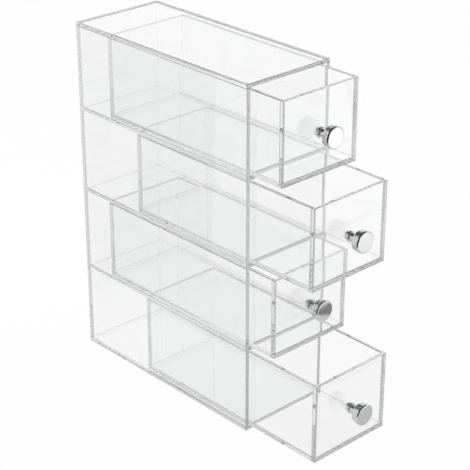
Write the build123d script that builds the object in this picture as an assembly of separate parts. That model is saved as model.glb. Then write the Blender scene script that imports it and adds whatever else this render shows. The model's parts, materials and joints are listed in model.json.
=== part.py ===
from build123d import *
import os

# Clear tower organizer: an acrylic case with four bays, one above another, and in each bay an
# acrylic drawer with a chrome knob. All sizes are in millimetres. The origin is the centre of the
# case's underside. +Z is up, -Y is the front, where the drawers come out, and +X is to the right
# of someone who looks at the front.

# Case
CASE_WIDTH = 76.0
CASE_DEPTH = 178.0
CASE_HEIGHT = 260.0
CASE_SHEET = 3.0

# Drawers, and the room that each has in its bay
DRAWER_SHEET = 3.0
DRAWER_SIDE_GAP = 0.5
DRAWER_FLOOR_GAP = 0.25
DRAWER_HEAD_GAP = 1.25
DRAWER_REAR_GAP = 1.0

# How far each drawer stands open, from the top one down
OPEN_DRAWER_1 = 29.5
OPEN_DRAWER_2 = 58.5
OPEN_DRAWER_3 = 24.0
OPEN_DRAWER_4 = 64.5

# Round on the edges of the sheets that are not bonded to another sheet
SHEET_ARRIS = 0.3

# Knob, a turned piece that stands out of the drawer's front
KNOB_HEAD_DIAMETER = 16.0
KNOB_HEAD_BACK_DIAMETER = 14.4
KNOB_HEAD_THICKNESS = 6.5
KNOB_RIM_ROUND = 1.2
KNOB_HEAD_BACK_ROUND = 0.9
KNOB_NECK_DIAMETER = 5.8
KNOB_NECK_LENGTH = 5.8
KNOB_NECK_FILLET = 0.8
KNOB_BASE_DIAMETER = 8.0
KNOB_BASE_THICKNESS = 1.4
KNOB_BASE_ROUND = 0.4

# Pan head screw from inside the drawer into the knob's blind bore
SCREW_DIAMETER = 3.0
SCREW_LENGTH = 10.0
SCREW_HEAD_DIAMETER = 6.0
SCREW_HEAD_HEIGHT = 2.0
SCREW_HEAD_ROUND = 1.1
SCREW_TIP_CHAMFER = 0.4
SCREW_HOLE_GAP = 0.25
SCREW_THREAD_GAP = 0.05
SCREW_TIP_GAP = 0.8
RECESS_SPAN = 3.4
RECESS_WIDTH = 0.8
RECESS_DEPTH = 1.1

# Sizes that follow from the ones above
DRAWERS_OPEN = (OPEN_DRAWER_1, OPEN_DRAWER_2, OPEN_DRAWER_3, OPEN_DRAWER_4)
DRAWER_COUNT = len(DRAWERS_OPEN)
CASE_FRONT = -CASE_DEPTH / 2
BAY_WIDTH = CASE_WIDTH - 2 * CASE_SHEET
BAY_DEPTH = CASE_DEPTH - CASE_SHEET
BAY_HEIGHT = (CASE_HEIGHT - (DRAWER_COUNT + 1) * CASE_SHEET) / DRAWER_COUNT
BAY_PITCH = BAY_HEIGHT + CASE_SHEET
DRAWER_WIDTH = BAY_WIDTH - 2 * DRAWER_SIDE_GAP
DRAWER_DEPTH = BAY_DEPTH - DRAWER_REAR_GAP
DRAWER_HEIGHT = BAY_HEIGHT - DRAWER_FLOOR_GAP - DRAWER_HEAD_GAP
WALL_DEPTH = DRAWER_DEPTH - DRAWER_SHEET
WALL_HEIGHT = DRAWER_HEIGHT - DRAWER_SHEET


def sheet(width, depth, height, centre_x, low_y, low_z):
    """A flat sheet, placed by its centre in X and by its lowest corner in Y and Z."""
    corner = (Align.CENTER, Align.MIN, Align.MIN)
    return Pos(centre_x, low_y, low_z) * Box(width, depth, height, align=corner)


def softened(edges, thickness):
    """The solid that the edges are on, with a small round on them that its thickness allows."""
    return fillet(edges, min(SHEET_ARRIS, thickness / 3))


def case_side(side):
    """A tall side sheet between the top and the bottom; side is -1 for left and +1 for right."""
    centre_x = side * (CASE_WIDTH - CASE_SHEET) / 2
    height = CASE_HEIGHT - 2 * CASE_SHEET
    solid = sheet(CASE_SHEET, CASE_DEPTH, height, centre_x, CASE_FRONT, CASE_SHEET)
    outer_face = solid.faces().sort_by(Axis.X)[0 if side < 0 else -1]
    return softened(outer_face.edges().filter_by(Axis.Z), CASE_SHEET)


def case_end(low_z, outward):
    """The top or the bottom sheet, over the ends of the sides; outward is +1 for the top."""
    solid = sheet(CASE_WIDTH, CASE_DEPTH, CASE_SHEET, 0, CASE_FRONT, low_z)
    outer_face = solid.faces().sort_by(Axis.Z)[-1 if outward > 0 else 0]
    return softened(outer_face.edges() + solid.edges().filter_by(Axis.Z), CASE_SHEET)


def case_back():
    """The back sheet, set between the sides, the top and the bottom."""
    height = CASE_HEIGHT - 2 * CASE_SHEET
    return sheet(BAY_WIDTH, CASE_SHEET, height, 0, CASE_FRONT + BAY_DEPTH, CASE_SHEET)


def case_shelf(level):
    """The shelf under the bay at this level, counted from the top, in front of the back sheet."""
    low_z = (DRAWER_COUNT - level) * BAY_PITCH
    solid = sheet(BAY_WIDTH, BAY_DEPTH, CASE_SHEET, 0, CASE_FRONT, low_z)
    front_face = solid.faces().sort_by(Axis.Y)[0]
    return softened(front_face.edges().filter_by(Axis.X), CASE_SHEET)


# Each piece of a drawer is drawn with the lower edge of the front panel's outer face on the X axis.


def drawer_front():
    """The front panel, over the ends of the walls, drilled in its centre for the knob's screw."""
    solid = sheet(DRAWER_WIDTH, DRAWER_SHEET, DRAWER_HEIGHT, 0, 0, 0)
    solid = softened(solid.faces().sort_by(Axis.Y)[0].edges(), DRAWER_SHEET)
    hole = rod(SCREW_DIAMETER / 2 + SCREW_HOLE_GAP, 0, DRAWER_SHEET)
    return solid - Pos(0, 0, DRAWER_HEIGHT / 2) * hole


def drawer_bottom():
    """The floor sheet, behind the front panel and under the other three walls."""
    return sheet(DRAWER_WIDTH, WALL_DEPTH, DRAWER_SHEET, 0, DRAWER_SHEET, 0)


def drawer_side(side):
    """A side wall on the floor sheet; side is -1 for left and +1 for right."""
    centre_x = side * (DRAWER_WIDTH - DRAWER_SHEET) / 2
    solid = sheet(DRAWER_SHEET, WALL_DEPTH, WALL_HEIGHT, centre_x, DRAWER_SHEET, DRAWER_SHEET)
    top_face = solid.faces().sort_by(Axis.Z)[-1]
    return softened(top_face.edges().filter_by(Axis.Y), DRAWER_SHEET)


def drawer_back():
    """The rear wall, on the floor sheet and between the side walls."""
    width = DRAWER_WIDTH - 2 * DRAWER_SHEET
    low_y = DRAWER_DEPTH - DRAWER_SHEET
    solid = sheet(width, DRAWER_SHEET, WALL_HEIGHT, 0, low_y, DRAWER_SHEET)
    top_face = solid.faces().sort_by(Axis.Z)[-1]
    return softened(top_face.edges().filter_by(Axis.X), DRAWER_SHEET)


def rod(radius, low_y, high_y):
    """A round rod on the Y axis from low_y to high_y."""
    return Pos(0, (low_y + high_y) / 2, 0) * Cylinder(radius, high_y - low_y, rotation=(90, 0, 0))


def turned(corners):
    """A piece turned about the Y axis from corners (radius, y, round), in order from axis to axis."""
    profile = Polygon(*[(radius, y) for radius, y, _ in corners], align=None)
    for radius, y, corner_round in corners:
        if corner_round > 0:
            corner = profile.vertices().sort_by_distance((radius, y, 0))[0]
            profile = fillet(corner, corner_round)
    return revolve(profile, axis=Axis.Y)


def knob():
    """The knob: a base on the panel, a thin neck and a wide head, with a blind bore for the screw."""
    head_back = -KNOB_BASE_THICKNESS - KNOB_NECK_LENGTH
    head_face = head_back - KNOB_HEAD_THICKNESS
    solid = turned(
        [
            (0, 0, 0),
            (KNOB_BASE_DIAMETER / 2, 0, 0),
            (KNOB_BASE_DIAMETER / 2, -KNOB_BASE_THICKNESS, KNOB_BASE_ROUND),
            (KNOB_NECK_DIAMETER / 2, -KNOB_BASE_THICKNESS, KNOB_BASE_ROUND),
            (KNOB_NECK_DIAMETER / 2, head_back, KNOB_NECK_FILLET),
            (KNOB_HEAD_BACK_DIAMETER / 2, head_back, KNOB_HEAD_BACK_ROUND),
            (KNOB_HEAD_DIAMETER / 2, head_face, KNOB_RIM_ROUND),
            (0, head_face, 0),
        ]
    )
    bore_end = DRAWER_SHEET - SCREW_LENGTH - SCREW_TIP_GAP
    return solid - rod(SCREW_DIAMETER / 2 + SCREW_THREAD_GAP, bore_end, 0)


def screw():
    """The screw: a domed head inside the drawer, a shank through the panel, and a cross recess."""
    seat = DRAWER_SHEET
    tip = seat - SCREW_LENGTH
    top = seat + SCREW_HEAD_HEIGHT
    solid = turned(
        [
            (0, tip, 0),
            (SCREW_DIAMETER / 2 - SCREW_TIP_CHAMFER, tip, 0),
            (SCREW_DIAMETER / 2, tip + SCREW_TIP_CHAMFER, 0),
            (SCREW_DIAMETER / 2, seat, 0),
            (SCREW_HEAD_DIAMETER / 2, seat, 0),
            (SCREW_HEAD_DIAMETER / 2, top, SCREW_HEAD_ROUND),
            (0, top, 0),
        ]
    )
    for width, height in ((RECESS_SPAN, RECESS_WIDTH), (RECESS_WIDTH, RECESS_SPAN)):
        solid -= Pos(0, top - RECESS_DEPTH / 2, 0) * Box(width, RECESS_DEPTH, height)
    return solid


def case_pieces():
    """The case's sheets by name."""
    pieces = {
        "case_side_left": case_side(-1),
        "case_side_right": case_side(1),
        "case_top": case_end(CASE_HEIGHT - CASE_SHEET, 1),
        "case_bottom": case_end(0, -1),
        "case_back": case_back(),
    }
    for level in range(1, DRAWER_COUNT):
        pieces[f"case_shelf_{level}"] = case_shelf(level)
    return pieces


def drawer_pieces(number, how_far_open):
    """One drawer's pieces by name, in its bay; number 1 is the top drawer."""
    floor = CASE_SHEET + (DRAWER_COUNT - number) * BAY_PITCH + DRAWER_FLOOR_GAP
    place = Pos(0, CASE_FRONT - how_far_open, floor)
    centre = place * Pos(0, 0, DRAWER_HEIGHT / 2)
    return {
        f"drawer_{number}_front": place * drawer_front(),
        f"drawer_{number}_bottom": place * drawer_bottom(),
        f"drawer_{number}_side_left": place * drawer_side(-1),
        f"drawer_{number}_side_right": place * drawer_side(1),
        f"drawer_{number}_back": place * drawer_back(),
        f"drawer_{number}_knob": centre * knob(),
        f"drawer_{number}_screw": centre * screw(),
    }


pieces = case_pieces()
for number, how_far_open in enumerate(DRAWERS_OPEN, start=1):
    pieces.update(drawer_pieces(number, how_far_open))

os.makedirs("parts", exist_ok=True)
for name, solid in pieces.items():
    export_step(solid, f"parts/{name}.step")
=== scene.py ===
import json
import math

import bmesh
import bpy
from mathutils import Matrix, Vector


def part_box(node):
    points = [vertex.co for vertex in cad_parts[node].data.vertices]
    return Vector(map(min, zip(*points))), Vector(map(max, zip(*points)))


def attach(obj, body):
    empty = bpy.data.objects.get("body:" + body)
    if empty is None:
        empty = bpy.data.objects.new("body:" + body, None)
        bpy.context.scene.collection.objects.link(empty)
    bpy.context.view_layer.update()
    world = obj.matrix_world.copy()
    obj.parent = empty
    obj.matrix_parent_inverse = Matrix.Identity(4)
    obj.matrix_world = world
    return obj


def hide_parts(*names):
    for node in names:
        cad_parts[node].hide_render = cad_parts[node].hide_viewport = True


# Clear tower organizer: an acrylic case and four acrylic drawers with chrome knobs. The sheets are
# modelled here with their rounded and bonded edges, over the sheets of the frame. The knobs and the
# screws are the frame's own, with a finish. Lengths are in metres.

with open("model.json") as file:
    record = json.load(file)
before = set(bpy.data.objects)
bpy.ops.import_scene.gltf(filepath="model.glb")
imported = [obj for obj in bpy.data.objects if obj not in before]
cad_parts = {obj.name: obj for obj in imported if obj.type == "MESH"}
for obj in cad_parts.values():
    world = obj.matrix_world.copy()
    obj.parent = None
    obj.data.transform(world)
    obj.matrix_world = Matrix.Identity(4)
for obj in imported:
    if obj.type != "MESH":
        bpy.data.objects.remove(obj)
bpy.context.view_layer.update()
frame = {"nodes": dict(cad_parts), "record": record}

MM = 0.001

# Photograph: its size, and the camera that sees the tower as it does
PHOTO_SIZE = 470
CAMERA_AZIMUTH = math.radians(-42.87)
CAMERA_ELEVATION = math.radians(25.69)
CAMERA_DISTANCE = 1067.5 * MM
CAMERA_TARGET = Vector((-9.32, -46.84, 130.0)) * MM
FOCAL_PIXELS = 1522.88
SENSOR_WIDTH = 36.0

# Sheets: how far each stays inside its frame node, the rounds on its free and bonded edges, the fold
# in radians from which an edge gets a round, how near two sheets of a body are if they are bonded,
# and the hole for a knob's screw
SHEET_INSET = 0.02 * MM
FREE_ROUND = 0.5 * MM
BONDED_ROUND = 0.25 * MM
ROUND_SEGMENTS = 3
SHARP_FOLD = 1.0
TOUCH = 0.1 * MM
SCREW_HOLE_RADIUS = 1.75 * MM
HOLE_POINTS = 48

# Acrylic: what it does to light, and then its wipe marks, its cemented seams, its sawn rims and the
# slow waves in its faces. A spread is the range of noise over which the roughness after it changes.
ACRYLIC_IOR = 1.49
SURFACE_TINT = (0.975, 0.976, 0.977, 1.0)
ACRYLIC_TINT = (0.80, 0.806, 0.81, 1.0)
ABSORPTION_DENSITY = 13.0
SHADOW_TINT = (0.94, 0.94, 0.94, 1.0)
WIPE_SCALE = 30.0
WIPE_DETAIL = 4.0
WIPE_SPREAD = (0.45, 0.75)
WIPE_ROUGHNESS = (0.0, 0.004)
SEAM_SCALE = 90.0
SEAM_DETAIL = 3.0
SEAM_SPREAD = (0.4, 0.7)
SEAM_ROUGHNESS = (0.008, 0.02)
RIM_ROUGHNESS = 0.03
WAVE_SCALE = 14.0
WAVE_DETAIL = 1.0
WAVE_STRENGTH = 0.008
WAVE_DEPTH = 0.2 * MM

# Metals: the colour, the roughness, and the number and strength of the rings that turning leaves
CHROME_COLOUR = (0.64, 0.645, 0.655, 1.0)
CHROME_ROUGHNESS = (0.003, 0.02)
CHROME_RINGS = 260.0
CHROME_RING_STRENGTH = 0.04
STEEL_COLOUR = (0.92, 0.92, 0.91, 1.0)
STEEL_ROUGHNESS = (0.3, 0.5)
STEEL_RINGS = 90.0
STEEL_RING_STRENGTH = 0.2
RING_DEPTH = 0.01 * MM
POLISH_SCALE = 260.0
POLISH_DETAIL = 5.0
POLISH_SPREAD = (0.3, 0.75)

# Sky: its strength low down and above, and the heights of a unit direction between which it fades
SKY_STRENGTH = 1.06
SKY_ABOVE = 0.04
SKY_FADE = (0.48, 0.66)

# Cards on the floor, which glow only in reflections and so paint them: from where to where they lie
# along and across the line that strip() follows. Strengths are those at the near and the far end of a
# reach from the tower's middle.
STRIP_HEIGHT = 1.0 * MM
# Painted shade: a dim strip that darkens the case's side where it mirrors the floor, darker farther
# out
SHADE_STRIP_ALONG = (-0.9, -0.12)
SHADE_STRIP_ACROSS = (-0.06, 0.16)
SHADE_STRIP_SKEW = -1.078
SHADE_STRIP_REACH = (0.10, 0.24)
SHADE_STRIP_STRENGTHS = (0.8, 0.4)
# Painted reflection in the drawers' fronts and the knobs' faces: dim near the tower, bright farther
# out
REFLECTION_PANEL_ALONG = (0.14, 1.3)
REFLECTION_PANEL_ACROSS = (-0.4, -0.012)
REFLECTION_PANEL_REACH = (0.14, 0.66)
REFLECTION_PANEL_STRENGTHS = (0.72, 1.58)
# Painted shade: a dim patch over that strip, with a skewed edge, that darkens part of a knob's face
DARK_PATCH_ALONG = (0.262, 0.279)
DARK_PATCH_ACROSS = (-0.09, -0.058)
DARK_PATCH_SKEW = 1.0
DARK_PATCH_STRENGTH = 0.32

# Standing cards, which glow only in reflections: a bright one that paints highlights, and a nearly
# black one that paints shade
# Painted highlights: a bright card, which lights nothing, that the knobs' sides mirror
CARD_AZIMUTH = math.radians(-137.0)
CARD_DISTANCE = 1.2
CARD_WIDTH = 1.2
CARD_HEIGHT = 1.0
CARD_STRENGTH = 1.5
# Painted shade: a nearly black card, fainter farther out, that darkens the reflections facing it
DARK_CARD_AZIMUTH = math.radians(-60.0)
DARK_CARD_DISTANCE = 0.21
DARK_CARD_WIDTH = 0.5
DARK_CARD_HEIGHT = 0.9
DARK_CARD_REACH = (0.24, 0.36)
DARK_CARD_STRENGTHS = (0.12, 0.01)

# Floor: its size and colour, and the share of plain white in how it looks to the camera
FLOOR_SPAN = 8.0
FLOOR_COLOUR = (0.9, 0.9, 0.9, 1.0)
FLOOR_GLOW_SHARE = 0.955

# Lamps
LAMP_AIM = Vector((0.0, 0.0, 0.12))
KEY_PLACE = Vector((-0.75, 0.75, 0.95))
KEY_WIDTH = 0.8
KEY_WATTS = 14.0
FILL_PLACE = Vector((0.9, -0.7, 1.0))
FILL_WIDTH = 0.9
FILL_WATTS = 8.0


def acrylic_nodes():
    """The body of each frame node that is an acrylic sheet."""
    return {
        node: body
        for body, members in frame["record"]["behaviour"]["bodies"].items()
        for node in members
        if not node.endswith(("_knob", "_screw"))
    }


# Shader nodes


def node_tree(name):
    """A new material, with its nodes and links, without any node in it."""
    material = bpy.data.materials.new(name)
    material.use_nodes = True
    material.node_tree.nodes.clear()
    return material, material.node_tree.nodes, material.node_tree.links


def math_node(nodes, links, operation, *values):
    """A Math node's result for sockets or plain numbers."""
    node = nodes.new("ShaderNodeMath")
    node.operation = operation
    for socket, value in zip(node.inputs, values):
        if isinstance(value, bpy.types.NodeSocket):
            links.new(value, socket)
        else:
            socket.default_value = value
    return node.outputs["Value"]


def vector_math(nodes, links, operation, vector, constant):
    """A Vector Math node's result for a vector socket and a constant vector."""
    node = nodes.new("ShaderNodeVectorMath")
    node.operation = operation
    links.new(vector, node.inputs[0])
    node.inputs[1].default_value = constant
    return node.outputs["Vector"]


def length(nodes, links, vector):
    """The length of a vector socket."""
    node = nodes.new("ShaderNodeVectorMath")
    node.operation = "LENGTH"
    links.new(vector, node.inputs[0])
    return node.outputs["Value"]


def map_range(nodes, links, value, source, target, smooth=False):
    """A value socket, carried over from the source range to the target range."""
    node = nodes.new("ShaderNodeMapRange")
    node.interpolation_type = "SMOOTHSTEP" if smooth else "LINEAR"
    links.new(value, node.inputs["Value"])
    for socket, number in zip(("From Min", "From Max", "To Min", "To Max"), (*source, *target)):
        node.inputs[socket].default_value = number
    return node.outputs["Result"]


def noise(nodes, links, place, scale, detail):
    """A Noise node's value at a place."""
    node = nodes.new("ShaderNodeTexNoise")
    node.inputs["Scale"].default_value = scale
    node.inputs["Detail"].default_value = detail
    links.new(place, node.inputs["Vector"])
    return node.outputs["Fac"]


def bumps(nodes, links, height, strength, depth):
    """The normal of a surface with bumps of a height socket."""
    node = nodes.new("ShaderNodeBump")
    node.inputs["Strength"].default_value = strength
    node.inputs["Distance"].default_value = depth
    links.new(height, node.inputs["Height"])
    return node.outputs["Normal"]


def attribute(nodes, name):
    """The value of a mesh attribute."""
    node = nodes.new("ShaderNodeAttribute")
    node.attribute_name = name
    return node.outputs["Fac"]


def light_path(nodes, kind):
    """1 for rays of one kind, and 0 for all others."""
    return nodes.new("ShaderNodeLightPath").outputs[kind]


def mixed(nodes, links, share, first, second):
    """A mix of two shaders; the share is the second one's."""
    node = nodes.new("ShaderNodeMixShader")
    links.new(share, node.inputs["Fac"])
    links.new(first, node.inputs[1])
    links.new(second, node.inputs[2])
    return node.outputs["Shader"]


def to_output(nodes, links, shader, kind="ShaderNodeOutputMaterial"):
    """An output node of a kind, with the shader on its surface."""
    out = nodes.new(kind)
    links.new(shader, out.inputs["Surface"])
    return out


# Materials


def acrylic_material():
    """Clear cast acrylic: polished faces with faint wipe marks, satin sawn rims and bond seams."""
    material, nodes, links = node_tree("clear_acrylic_sheet")
    place = nodes.new("ShaderNodeTexCoord").outputs["Object"]

    wipes = noise(nodes, links, place, WIPE_SCALE, WIPE_DETAIL)
    rough = map_range(nodes, links, wipes, WIPE_SPREAD, WIPE_ROUGHNESS)
    rim_rough = math_node(nodes, links, "MULTIPLY", attribute(nodes, "rim"), RIM_ROUGHNESS)
    rough = math_node(nodes, links, "ADD", rough, rim_rough)
    cement = noise(nodes, links, place, SEAM_SCALE, SEAM_DETAIL)
    seam = map_range(nodes, links, cement, SEAM_SPREAD, SEAM_ROUGHNESS)
    seam_rough = math_node(nodes, links, "MULTIPLY", attribute(nodes, "bond"), seam)
    rough = math_node(nodes, links, "ADD", rough, seam_rough)
    waves = noise(nodes, links, place, WAVE_SCALE, WAVE_DETAIL)

    acrylic = nodes.new("ShaderNodeBsdfPrincipled")
    acrylic.inputs["Base Color"].default_value = SURFACE_TINT
    acrylic.inputs["Transmission Weight"].default_value = 1.0
    acrylic.inputs["IOR"].default_value = ACRYLIC_IOR
    links.new(rough, acrylic.inputs["Roughness"])
    links.new(bumps(nodes, links, waves, WAVE_STRENGTH, WAVE_DEPTH), acrylic.inputs["Normal"])

    passed = nodes.new("ShaderNodeBsdfTransparent")
    passed.inputs["Color"].default_value = SHADOW_TINT
    shadow = light_path(nodes, "Is Shadow Ray")
    surface = mixed(nodes, links, shadow, acrylic.outputs["BSDF"], passed.outputs["BSDF"])

    absorption = nodes.new("ShaderNodeVolumeAbsorption")
    absorption.inputs["Color"].default_value = ACRYLIC_TINT
    absorption.inputs["Density"].default_value = ABSORPTION_DENSITY
    links.new(absorption.outputs["Volume"], to_output(nodes, links, surface).inputs["Volume"])
    return material


def metal_material(name, colour, roughness, rings, ring_strength):
    """A turned metal: faint rings about the piece's own Y axis, and a mottled polish."""
    material, nodes, links = node_tree(name)
    coords = nodes.new("ShaderNodeTexCoord")
    # Generated coordinates run from 0 to 1 over the piece, so its axis is at a half
    centred = vector_math(nodes, links, "SUBTRACT", coords.outputs["Generated"], (0.5, 0.5, 0.5))
    sideways = vector_math(nodes, links, "MULTIPLY", centred, (1.0, 0.0, 1.0))
    turning = math_node(nodes, links, "MULTIPLY", length(nodes, links, sideways), rings)
    turning = math_node(nodes, links, "SINE", turning)
    mottle = noise(nodes, links, coords.outputs["Object"], POLISH_SCALE, POLISH_DETAIL)
    rough = map_range(nodes, links, mottle, POLISH_SPREAD, roughness)

    metal = nodes.new("ShaderNodeBsdfPrincipled")
    metal.inputs["Base Color"].default_value = colour
    metal.inputs["Metallic"].default_value = 1.0
    links.new(rough, metal.inputs["Roughness"])
    links.new(bumps(nodes, links, turning, ring_strength, RING_DEPTH), metal.inputs["Normal"])
    to_output(nodes, links, metal.outputs["BSDF"])
    return material


def finish_metal():
    """Gives the frame's knobs and screws their finish."""
    finishes = {
        "_knob": metal_material(
            "polished_chrome_turned",
            CHROME_COLOUR,
            CHROME_ROUGHNESS,
            CHROME_RINGS,
            CHROME_RING_STRENGTH,
        ),
        "_screw": metal_material(
            "plated_steel_turned",
            STEEL_COLOUR,
            STEEL_ROUGHNESS,
            STEEL_RINGS,
            STEEL_RING_STRENGTH,
        ),
    }
    for node, obj in frame["nodes"].items():
        for ending, material in finishes.items():
            if node.endswith(ending):
                obj.material_slots[0].material = material


# Sheets


def inside_another(point, node, sheets):
    """True if the point lies in or on another sheet of the same body."""
    for other, body in sheets.items():
        if other == node or body != sheets[node]:
            continue
        low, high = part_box(other)
        if all(low[i] - TOUCH / 2 <= point[i] <= high[i] + TOUCH / 2 for i in range(3)):
            return True
    return False


def sheet_outline(node, half_across, half_up):
    """The corners of a sheet's large face, and the ring of the screw's hole in a drawer's front."""
    corners = [(1, 1), (1, -1), (-1, -1), (-1, 1)]
    outline = [(u * half_across, v * half_up) for u, v in corners]
    if not node.endswith("_front"):
        return outline, []
    outline = [(0.0, half_up), *outline[:2], (0.0, -half_up), *outline[2:]]
    turns = [2 * math.pi * k / HOLE_POINTS for k in range(HOLE_POINTS)]
    ring = [(SCREW_HOLE_RADIUS * math.sin(t), SCREW_HOLE_RADIUS * math.cos(t)) for t in turns]
    return outline, ring


def mark_bonds(mesh, thin, node, sheets):
    """Marks a sheet's rim and its bonded faces, and how wide a round each sharp edge gets."""
    rim = mesh.faces.layers.float["rim"]
    bond = mesh.faces.layers.float["bond"]
    weight = mesh.edges.layers.float["bevel_weight_edge"]
    for face in mesh.faces:
        just_outside = face.calc_center_bounds() + face.normal * TOUCH
        large = abs(face.normal[thin]) > 0.5
        face[rim] = 0.0 if large else 1.0
        face[bond] = 1.0 if inside_another(just_outside, node, sheets) else 0.0
    for edge in mesh.edges:
        if edge.calc_face_angle(0) < SHARP_FOLD:
            continue
        middle = (edge.verts[0].co + edge.verts[1].co) / 2
        bonded = inside_another(middle, node, sheets)
        edge[weight] = BONDED_ROUND / FREE_ROUND if bonded else 1.0


def sheet_mesh(node, sheets):
    """A sheet's mesh, a little inside its frame node, with its bonded faces and edges marked."""
    low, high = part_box(node)
    size = high - low
    thin = min(range(3), key=lambda i: size[i])
    across, up = [i for i in range(3) if i != thin]
    centre = (low + high) / 2
    half = [size[i] / 2 - SHEET_INSET for i in range(3)]
    mesh = bmesh.new()
    mesh.faces.layers.float.new("rim")
    mesh.faces.layers.float.new("bond")
    mesh.edges.layers.float.new("bevel_weight_edge")

    def corner(u, v, w):
        place = centre.copy()
        place[across] += u
        place[up] += v
        place[thin] += w
        return mesh.verts.new(place)

    outline, ring = sheet_outline(node, half[across], half[up])
    sides = []
    for w in (-half[thin], half[thin]):
        outer = [corner(u, v, w) for u, v in outline]
        inner = [corner(u, v, w) for u, v in ring]
        sides.append((outer, inner))
        if ring:
            # One face to the right of the hole and one to the left of it
            bottom = HOLE_POINTS // 2
            mesh.faces.new(outer[:4] + inner[bottom::-1])
            mesh.faces.new(outer[3:] + [outer[0], inner[0]] + inner[: bottom - 1 : -1])
        else:
            mesh.faces.new(outer)
    for below, above in zip(*sides):
        for k in range(len(below)):
            after = (k + 1) % len(below)
            mesh.faces.new((below[k], below[after], above[after], above[k]))
    bmesh.ops.recalc_face_normals(mesh, faces=mesh.faces)
    mark_bonds(mesh, thin, node, sheets)

    data = bpy.data.meshes.new(node + "_sheet")
    mesh.to_mesh(data)
    mesh.free()
    return data


def sheet_piece(node, sheets, material):
    """Makes the sheet that stands for a frame node, with rounds on its edges."""
    data = sheet_mesh(node, sheets)
    data.materials.append(material)
    piece = bpy.data.objects.new(node + "_sheet", data)
    bpy.context.scene.collection.objects.link(piece)
    rounds = piece.modifiers.new("edge rounds", "BEVEL")
    rounds.limit_method = "WEIGHT"
    rounds.width = FREE_ROUND
    rounds.segments = ROUND_SEGMENTS
    rounds.use_clamp_overlap = True
    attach(piece, sheets[node])
    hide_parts(node)


# Stage


def flat(name, corners, material):
    """A flat four-sided piece of the stage."""
    data = bpy.data.meshes.new(name)
    data.from_pydata(corners, [], [(0, 1, 2, 3)])
    data.materials.append(material)
    obj = bpy.data.objects.new(name, data)
    bpy.context.scene.collection.objects.link(obj)
    return obj


def floor():
    """A pale floor that looks white to the camera and through the acrylic, with a faint shadow."""
    material, nodes, links = node_tree("floor_white")
    matte = nodes.new("ShaderNodeBsdfDiffuse")
    matte.inputs["Color"].default_value = FLOOR_COLOUR
    glow = nodes.new("ShaderNodeEmission")
    seen, through = light_path(nodes, "Is Camera Ray"), light_path(nodes, "Is Transmission Ray")
    share = math_node(nodes, links, "MAXIMUM", seen, through)
    share = math_node(nodes, links, "MULTIPLY", share, FLOOR_GLOW_SHARE)
    surface = mixed(nodes, links, share, matte.outputs["BSDF"], glow.outputs["Emission"])
    to_output(nodes, links, surface)
    half = FLOOR_SPAN / 2
    flat("floor", [(-half, -half, 0), (half, -half, 0), (half, half, 0), (-half, half, 0)], material)


def sky():
    """White to the camera, and for light a white horizon under a dark ceiling."""
    world = bpy.data.worlds.new("studio")
    world.use_nodes = True
    bpy.context.scene.world = world
    nodes, links = world.node_tree.nodes, world.node_tree.links
    nodes.clear()
    parts = nodes.new("ShaderNodeSeparateXYZ")
    links.new(nodes.new("ShaderNodeTexCoord").outputs["Generated"], parts.inputs["Vector"])
    strengths = (SKY_STRENGTH, SKY_ABOVE)
    strength = map_range(nodes, links, parts.outputs["Z"], SKY_FADE, strengths, smooth=True)
    studio = nodes.new("ShaderNodeBackground")
    links.new(strength, studio.inputs["Strength"])
    white = nodes.new("ShaderNodeBackground")
    for background in (studio, white):
        background.inputs["Color"].default_value = (1.0, 1.0, 1.0, 1.0)
    seen = light_path(nodes, "Is Camera Ray")
    surface = mixed(nodes, links, seen, studio.outputs["Background"], white.outputs["Background"])
    to_output(nodes, links, surface, "ShaderNodeOutputWorld")


def card(name, corners, strengths, reach=(0.0, 1.0)):
    """A glowing card that only reflections show, so it paints a reflection; its reach is from the
    tower's middle outwards.
    """
    material, nodes, links = node_tree(name + "_light")
    away = length(nodes, links, nodes.new("ShaderNodeTexCoord").outputs["Object"])
    glow = nodes.new("ShaderNodeEmission")
    strength = map_range(nodes, links, away, reach, strengths, smooth=True)
    links.new(strength, glow.inputs["Strength"])
    to_output(nodes, links, glow.outputs["Emission"])
    obj = flat(name, corners, material)
    obj.visible_camera = False
    obj.visible_diffuse = False
    obj.visible_transmission = False
    obj.visible_shadow = False


def strip(along, across, skew=0.0, lift=1):
    """The corners of a strip on the floor, with its far end on a skew.

    It follows the line that the camera's view takes once a drawer's front has mirrored it, or,
    with minus signs, once the case's side has mirrored it.
    """
    line = Vector((-math.sin(CAMERA_AZIMUTH), -math.cos(CAMERA_AZIMUTH), 0.0))
    side = Vector((-line.y, line.x, 0.0))
    rise = Vector((0.0, 0.0, lift * STRIP_HEIGHT))
    (near, far), (low, high) = along, across
    lean = skew * (high - low) / 2
    places = ((near, low), (far - lean, low), (far + lean, high), (near, high))
    return [line * u + side * v + rise for u, v in places]


def standing(azimuth, distance, width, height):
    """The corners of a card that stands on the floor and faces the tower's middle."""
    side = Vector((math.sin(azimuth), -math.cos(azimuth), 0.0))
    along = Vector((-side.y, side.x, 0.0)) * width / 2
    foot = Vector((CAMERA_TARGET.x, CAMERA_TARGET.y, 0.0)) + side * distance
    top = Vector((0.0, 0.0, height))
    return [foot - along, foot + along, foot + along + top, foot - along + top]


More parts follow.
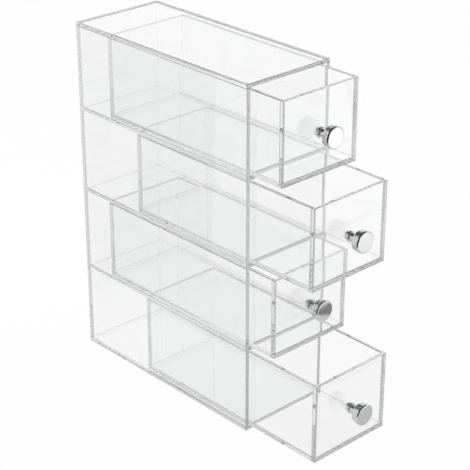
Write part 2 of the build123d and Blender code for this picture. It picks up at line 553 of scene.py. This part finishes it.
def studio_cards():
    """Cards that paint reflections: three on the floor, a bright card to the left rear that paints
    highlights, and a nearly black card to the left front that paints shade.
    """
    card("painted_shade_strip", strip(SHADE_STRIP_ALONG, SHADE_STRIP_ACROSS, SHADE_STRIP_SKEW), SHADE_STRIP_STRENGTHS, SHADE_STRIP_REACH)
    card("painted_reflection_panel", strip(REFLECTION_PANEL_ALONG, REFLECTION_PANEL_ACROSS), REFLECTION_PANEL_STRENGTHS, REFLECTION_PANEL_REACH)
    card("painted_dark_patch", strip(DARK_PATCH_ALONG, DARK_PATCH_ACROSS, DARK_PATCH_SKEW, lift=2), (DARK_PATCH_STRENGTH, DARK_PATCH_STRENGTH))
    bright = standing(CARD_AZIMUTH, CARD_DISTANCE, CARD_WIDTH, CARD_HEIGHT)
    card("card", bright, (CARD_STRENGTH, CARD_STRENGTH))
    black = standing(DARK_CARD_AZIMUTH, DARK_CARD_DISTANCE, DARK_CARD_WIDTH, DARK_CARD_HEIGHT)
    card("painted_dark_card", black, DARK_CARD_STRENGTHS, DARK_CARD_REACH)


def lamp(name, place, width, watts):
    """A square soft box at a place, aimed at the tower, that no reflection shows."""
    data = bpy.data.lights.new(name, "AREA")
    data.size = width
    data.energy = watts
    obj = bpy.data.objects.new(name, data)
    obj.location = place
    obj.rotation_euler = (LAMP_AIM - place).to_track_quat("-Z", "Y").to_euler()
    obj.visible_glossy = False
    obj.visible_transmission = False
    bpy.context.scene.collection.objects.link(obj)


def camera():
    """The camera that looks at the tower as the photograph does."""
    back = Vector(
        (
            math.sin(CAMERA_AZIMUTH) * math.cos(CAMERA_ELEVATION),
            -math.cos(CAMERA_AZIMUTH) * math.cos(CAMERA_ELEVATION),
            math.sin(CAMERA_ELEVATION),
        )
    )
    data = bpy.data.cameras.new("camera")
    data.sensor_fit = "HORIZONTAL"
    data.sensor_width = SENSOR_WIDTH
    data.lens = FOCAL_PIXELS / PHOTO_SIZE * SENSOR_WIDTH
    data.clip_start = 0.01
    data.clip_end = 50.0
    obj = bpy.data.objects.new("camera", data)
    obj.location = CAMERA_TARGET + back * CAMERA_DISTANCE
    obj.rotation_euler = back.to_track_quat("Z", "Y").to_euler()
    bpy.context.scene.collection.objects.link(obj)
    bpy.context.scene.camera = obj


def light_paths():
    """Enough bounces for a ray to cross every sheet, and to run along inside one."""
    cycles = bpy.context.scene.cycles
    cycles.max_bounces = 160
    cycles.transmission_bounces = 96
    cycles.glossy_bounces = 128
    cycles.transparent_max_bounces = 96


sheets = acrylic_nodes()
acrylic = acrylic_material()
for node in sheets:
    sheet_piece(node, sheets, acrylic)
finish_metal()
floor()
sky()
studio_cards()
lamp("key", KEY_PLACE, KEY_WIDTH, KEY_WATTS)
lamp("fill", FILL_PLACE, FILL_WIDTH, FILL_WATTS)
camera()
light_paths()
bpy.context.scene.view_settings.view_transform = "Standard"
